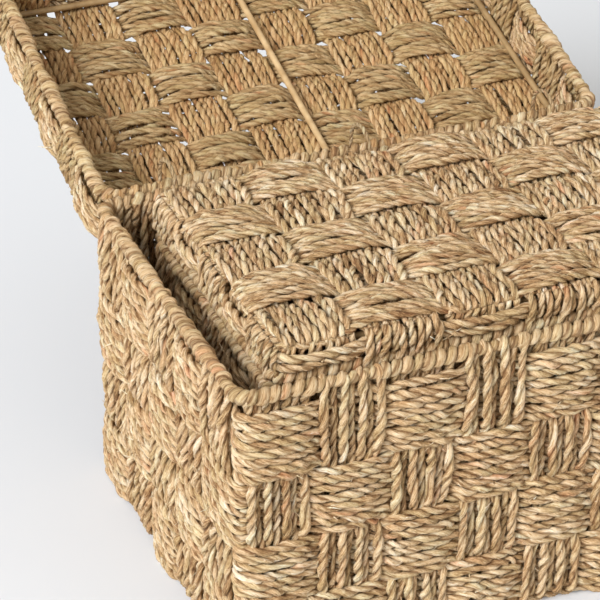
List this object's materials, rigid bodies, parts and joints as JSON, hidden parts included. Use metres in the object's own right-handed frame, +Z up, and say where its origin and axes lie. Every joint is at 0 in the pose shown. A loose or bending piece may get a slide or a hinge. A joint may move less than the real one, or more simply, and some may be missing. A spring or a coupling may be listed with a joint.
{
  "type": "lidded wicker basket",
  "caption": "Rectangular woven cord basket on a rod frame, tied lid swung open behind it, with a smaller lidded basket nested inside.",
  "frame": {"origin": "centre of the outer basket's flat underside", "axes": "+X along the long sides, front at -Y, +Z up; the lid is hinged along the back rim and swings open over +Y"},
  "size_m": [0.412, 0.5598, 0.2896],
  "materials": {
    "weft_cord": "matt twisted rush cord",
    "upright_cord": "matt twisted rush cord",
    "binding_cord": "matt twisted rush cord",
    "frame_rod": "smooth pale rattan cane"
  },
  "bodies": {
    "basket": {"basket_back_stakes": "upright_cord", "basket_corner_posts": "frame_rod", "basket_front_stakes": "upright_cord", "basket_left_stakes": "upright_cord", "basket_panel_cross_bands": "upright_cord", "basket_panel_long_bands": "weft_cord", "basket_panel_rod": "frame_rod", "basket_right_stakes": "upright_cord", "basket_rim_binding": "binding_cord", "basket_rim_rod": "frame_rod", "basket_weft_row_1": "weft_cord", "basket_weft_row_2": "weft_cord", "basket_weft_row_3": "weft_cord", "basket_weft_row_4": "weft_cord", "hinge_ties": "binding_cord"},
    "lid": {"lid_back_stakes": "upright_cord", "lid_brace_rod": "frame_rod", "lid_front_stakes": "upright_cord", "lid_left_stakes": "upright_cord", "lid_panel_cross_bands": "upright_cord", "lid_panel_long_bands": "weft_cord", "lid_panel_rod": "frame_rod", "lid_right_stakes": "upright_cord", "lid_rim_binding": "binding_cord", "lid_rim_rod": "frame_rod", "lid_weft_row_1": "weft_cord"},
    "inner_basket": {"inner_basket_back_stakes": "upright_cord", "inner_basket_corner_posts": "frame_rod", "inner_basket_front_stakes": "upright_cord", "inner_basket_left_stakes": "upright_cord", "inner_basket_panel_cross_bands": "upright_cord", "inner_basket_panel_long_bands": "weft_cord", "inner_basket_panel_rod": "frame_rod", "inner_basket_right_stakes": "upright_cord", "inner_basket_rim_binding": "binding_cord", "inner_basket_rim_rod": "frame_rod", "inner_basket_weft_row_1": "weft_cord", "inner_basket_weft_row_2": "weft_cord", "inner_basket_weft_row_3": "weft_cord", "inner_basket_weft_row_4": "weft_cord"},
    "inner_lid": {"inner_lid_back_stakes": "upright_cord", "inner_lid_front_stakes": "upright_cord", "inner_lid_left_stakes": "upright_cord", "inner_lid_panel_cross_bands": "upright_cord", "inner_lid_panel_long_bands": "weft_cord", "inner_lid_panel_rod": "frame_rod", "inner_lid_right_stakes": "upright_cord", "inner_lid_rim_binding": "binding_cord", "inner_lid_rim_rod": "frame_rod", "inner_lid_weft_row_1": "weft_cord"}
  },
  "joints": [
    {"name": "lid_hinge", "type": "hinge", "parent": "basket", "child": "lid", "pos_m": [0, 0.1382, 0.221], "axis": [1, 0, 0], "range_deg": [0, 165]},
    {"name": "inner_basket_lift", "type": "slide", "parent": "basket", "child": "inner_basket", "axis": [0, 0, 1], "range_m": [0, 0.3]},
    {"name": "inner_lid_lift", "type": "slide", "parent": "inner_basket", "child": "inner_lid", "axis": [0, 0, 1], "range_m": [0, 0.12]}
  ]
}
